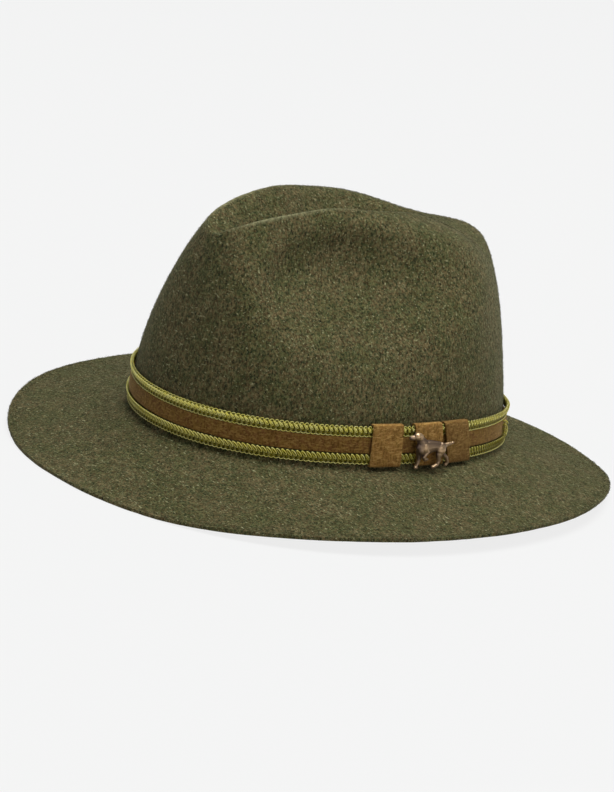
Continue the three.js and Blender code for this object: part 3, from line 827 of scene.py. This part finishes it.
dog = {
    "voxel": 0.2, "smoothShare": 0.5, "smoothTimes": 5, "swell": 0.24,
    "centre": (91.317, -5.454, 32.616),
    "ahead": (-0.0523, -0.9961, -0.0713), "up": (-0.0561, -0.0684, 0.9961), "out": (0.9971, -0.0561, 0.0523),
    # the last colour is a painted highlight, put where the badge stands out most
    "base": (100, 83, 73), "dark": (50, 40, 33), "highlight": (202, 170, 132),
    "baseFull": (-0.4, 1.7), "highlightSpan": (2.9, 4.7),      # by how far a place stands out, in millimetres
    "pitSize": 0.9, "pitFull": (0.55, 0.9), "pitDepth": 0.08,
    # painted highlight: lighter on the head above a height, the lower legs below one, the tail behind a
    # place, and on the back where it faces up
    "headUp": 5, "headHighlight": 0.45,
    "legUp": -5, "legHighlight": 3.7, "legLeast": 0.8, "legFade": 6,
    "tailUp": -3, "tailAhead": -9.5, "tailHighlight": 1.3,
    "backFacing": 0.5, "backHighlight": 2,
    # the back falls away behind: this far ahead, so much lower, but not the legs
    "fall": ((1, 0), (-6.5, 1.1), (-9.5, 1.4), (-14, 0.3)), "fallFrom": -4, "fallFade": 4,
    "ballSegments": 24, "ballRings": 16,
    # swells of the body: ahead, up, out, radius, and how far each is stretched ahead, up and out
    "swells": {
        "skull": (8.6, 6.8, 2.5, 1.7, 1.15, 1.0, 1.0),
        "muzzle": (11.0, 6.25, 2.2, 0.95, 1.5, 0.85, 1.0),
        "ear": (7.2, 6.0, 3.2, 1.15, 0.8, 1.25, 0.5),
        "chest": (4.6, -0.4, 2.2, 2.9, 1.1, 1.05, 0.5),
        "ribs": (0.6, -0.2, 2.1, 2.8, 1.5, 0.95, 0.42),
        "loin": (-3.4, 0.3, 2.0, 2.3, 1.4, 0.9, 0.5),
        "rump": (-7.0, -0.3, 2.0, 1.8, 1.0, 1.0, 0.6),
        "shoulder": (4.0, 0.2, 3.2, 1.7, 0.85, 1.3, 0.6),
        "thigh": (-6.3, -2.0, 2.9, 2.4, 1.05, 1.25, 0.6),
        "knee": (-5.5, -4.0, 2.8, 1.65, 0.9, 1.3, 0.7),
        "tailRoot": (-9.8, 0.0, 1.9, 0.8, 1.8, 0.8, 0.8),
        "tail": (-12.0, 0.0, 1.9, 0.6, 2.6, 0.8, 0.8),
        "elbow": (2.7, -2.4, 3.0, 0.95, 1.0, 1.0, 0.8),
        "hock": (-4.9, -5.0, 2.8, 0.95, 0.8, 1.2, 0.8),
        "nearPaw": (-2.0, -10.3, 2.7, 0.85, 1.3, 0.7, 0.9),
        "farPaw": (7.9, -9.5, 1.2, 0.8, 1.3, 0.8, 0.9),
    },
}


def makeSwells():
    frameTurn = Matrix([dog["ahead"], dog["up"], dog["out"]]).transposed()
    swells = []
    for ahead, up, out, radius, *stretch in dog["swells"].values():
        bpy.ops.mesh.primitive_uv_sphere_add(segments=dog["ballSegments"], ring_count=dog["ballRings"],
                                             radius=radius * mm)
        ball = bpy.context.object
        objectMode()
        for vertex in ball.data.vertices:
            local = Vector([c * s for c, s in zip(vertex.co, stretch)]) + Vector((ahead, up, out)) * mm
            vertex.co = frameTurn @ local + Vector(dog["centre"]) * mm
        swells.append(ball)
    return swells


def fallAt(ahead):
    # how much lower the back is at this place along the body
    for (front, low), (behind, lower) in zip(dog["fall"], dog["fall"][1:]):
        if behind <= ahead < front:
            return low + (lower - low) * (front - ahead) / (front - behind)
    return 0


def highlightAndLowerDog(body):
    # how far a point stands out, plus painted highlight on the head, lower legs, tail and upward-facing back;
    # then the back is let down
    centre, ahead, up, out = (Vector(dog[key]) for key in ("centre", "ahead", "up", "out"))
    marks = body.data.attributes.new("highlight", "FLOAT", "POINT")
    falls = []
    for vertex, mark in zip(body.data.vertices, marks.data):
        place = vertex.co / mm - centre
        height, front = place.dot(up), place.dot(ahead)
        highlight = place.dot(out) + dog["headHighlight"] * (height > dog["headUp"])
        if height < dog["legUp"]:
            share = min(1, dog["legLeast"] + (dog["legUp"] - height) / dog["legFade"])
            highlight = max(highlight, dog["legHighlight"] * share)
        if height > dog["tailUp"] and front < dog["tailAhead"]:
            highlight += dog["tailHighlight"]
        # painted highlight where the back faces up
        mark.value = highlight + dog["backHighlight"] * max(0, vertex.normal.dot(up) - dog["backFacing"])
        falls.append(fallAt(front) * min(1, max(0, (height - dog["fallFrom"]) / dog["fallFade"])))
    for vertex, fall in zip(body.data.vertices, falls):
        vertex.co -= up * fall * mm


def bronzeMaterial(name):
    material = newMaterial(name, roughness=0.38, metallic=0.7)
    highlight = attributeOf(material, "highlight")
    pitted = noise(material, dog["pitSize"], detail=3)
    base, dark, bright = (colour(*dog[key]) for key in ("base", "dark", "highlight"))
    tone = blendColours(material, ramp(material, highlight, *dog["baseFull"]), dark, base)
    # painted highlight where the badge stands out most
    tone = blendColours(material, ramp(material, highlight, *dog["highlightSpan"]), tone, bright)
    tone = blendColours(material, ramp(material, pitted, *dog["pitFull"]), tone, dark)
    principled(material, Base_Color=tone)
    bumped(material, pitted, dog["pitDepth"], strength=0.5)
    return material


def makeDog():
    body = copyOfNode("dog_badge", "pointing_dog")
    body = joined([body] + makeSwells(), "pointing_dog")
    modify(body, "REMESH", mode="VOXEL", voxel_size=dog["voxel"] * mm)
    modify(body, "SMOOTH", factor=dog["smoothShare"], iterations=dog["smoothTimes"])
    modify(body, "DISPLACE", strength=dog["swell"] * mm, mid_level=0)
    highlightAndLowerDog(body)
    smooth(body)
    finishPiece(body, bronzeMaterial("aged bronze"), "badge_metal", "dog_badge")
    print("dog badge: done,", triangles(body), "triangles")


makeDog()

deselectAll()
